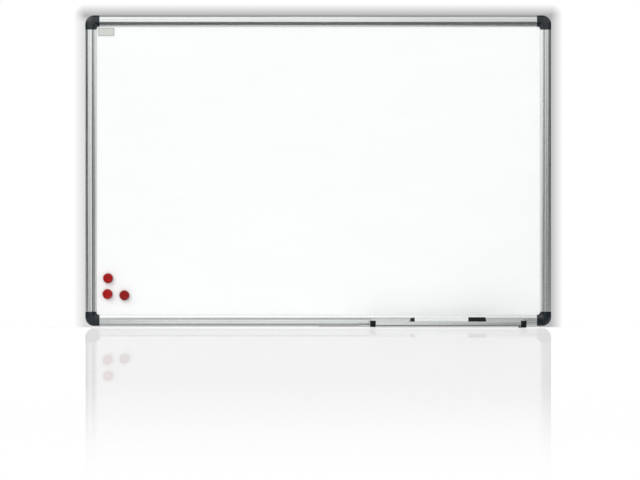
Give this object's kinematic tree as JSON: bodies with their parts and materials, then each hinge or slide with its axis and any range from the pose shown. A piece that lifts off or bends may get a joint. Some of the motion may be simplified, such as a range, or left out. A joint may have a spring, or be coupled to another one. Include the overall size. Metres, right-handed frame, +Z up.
{
  "type": "whiteboard",
  "caption": "Wall-hung magnetic whiteboard in an aluminium frame with moulded corners, a sliding pen tray, a capped marker and round magnets.",
  "frame": {"origin": "middle of the top rail's flat back face, on the wall plane", "axes": "+X to the right as the writing face is looked at, +Y into the wall, +Z up"},
  "size_m": [0.9, 0.0613, 0.6022],
  "materials": {
    "anodised_aluminium": "silver anodised, satin",
    "slate_plastic": "moulded, semi-gloss",
    "white_lacquer": "baked gloss lacquer",
    "fibre_core": "pressed fibre",
    "galvanised_steel": "hot-dip galvanised",
    "plated_steel": "zinc plated",
    "black_plastic": "moulded, semi-gloss",
    "pearl_plastic": "moulded, gloss",
    "white_plastic": "moulded, satin",
    "ink_felt": "inked felt",
    "red_plastic": "moulded, gloss",
    "ferrite": "sintered",
    "label_foil": "satin film"
  },
  "bodies": {
    "board": {"rail_top": "anodised_aluminium", "rail_right": "anodised_aluminium", "rail_bottom": "anodised_aluminium", "rail_left": "anodised_aluminium", "corner_top_right": "slate_plastic", "hanger_top_right": "plated_steel", "corner_bottom_right": "slate_plastic", "hanger_bottom_right": "plated_steel", "corner_bottom_left": "slate_plastic", "hanger_bottom_left": "plated_steel", "corner_top_left": "slate_plastic", "hanger_top_left": "plated_steel", "backing_sheet": "galvanised_steel", "core_board": "fibre_core", "writing_sheet": "white_lacquer", "label_plate": "label_foil", "corner_top_right_screw_side": "plated_steel", "corner_top_right_screw_level": "plated_steel", "corner_bottom_right_screw_side": "plated_steel", "corner_bottom_right_screw_level": "plated_steel", "corner_bottom_left_screw_side": "plated_steel", "corner_bottom_left_screw_level": "plated_steel", "corner_top_left_screw_side": "plated_steel", "corner_top_left_screw_level": "plated_steel", "hanger_top_right_rivet_left": "plated_steel", "hanger_top_right_rivet_right": "plated_steel", "hanger_bottom_right_rivet_left": "plated_steel", "hanger_bottom_right_rivet_right": "plated_steel", "hanger_bottom_left_rivet_left": "plated_steel", "hanger_bottom_left_rivet_right": "plated_steel", "hanger_top_left_rivet_left": "plated_steel", "hanger_top_left_rivet_right": "plated_steel"},
    "tray": {"pen_tray": "anodised_aluminium", "tray_cap_left": "black_plastic", "tray_cap_right": "black_plastic"},
    "marker": {"marker_barrel": "pearl_plastic", "marker_tail_plug": "black_plastic", "marker_nib_holder": "white_plastic", "marker_reservoir": "ink_felt", "marker_nib": "ink_felt"},
    "marker_cap": {"marker_cap": "black_plastic"},
    "magnet_upper": {"magnet_upper_cap": "red_plastic", "magnet_upper_disc": "ferrite"},
    "magnet_lower_left": {"magnet_lower_left_cap": "red_plastic", "magnet_lower_left_disc": "ferrite"},
    "magnet_lower_right": {"magnet_lower_right_cap": "red_plastic", "magnet_lower_right_disc": "ferrite"}
  },
  "joints": [
    {"name": "tray_slide", "type": "slide", "parent": "board", "child": "tray", "axis": [1, 0, 0], "range_m": [-0.522, 0.022]},
    {"name": "marker_lift", "type": "slide", "parent": "tray", "child": "marker", "axis": [0, 0, 1], "range_m": [0, 0.08]},
    {"name": "marker_cap_pull", "type": "slide", "parent": "marker", "child": "marker_cap", "axis": [1, 0, 0], "range_m": [0, 0.045]},
    {"name": "magnet_upper_pull", "type": "slide", "parent": "board", "child": "magnet_upper", "axis": [0, -1, 0], "range_m": [0, 0.05]},
    {"name": "magnet_lower_left_pull", "type": "slide", "parent": "board", "child": "magnet_lower_left", "axis": [0, -1, 0], "range_m": [0, 0.05]},
    {"name": "magnet_lower_right_pull", "type": "slide", "parent": "board", "child": "magnet_lower_right", "axis": [0, -1, 0], "range_m": [0, 0.05]}
  ]
}
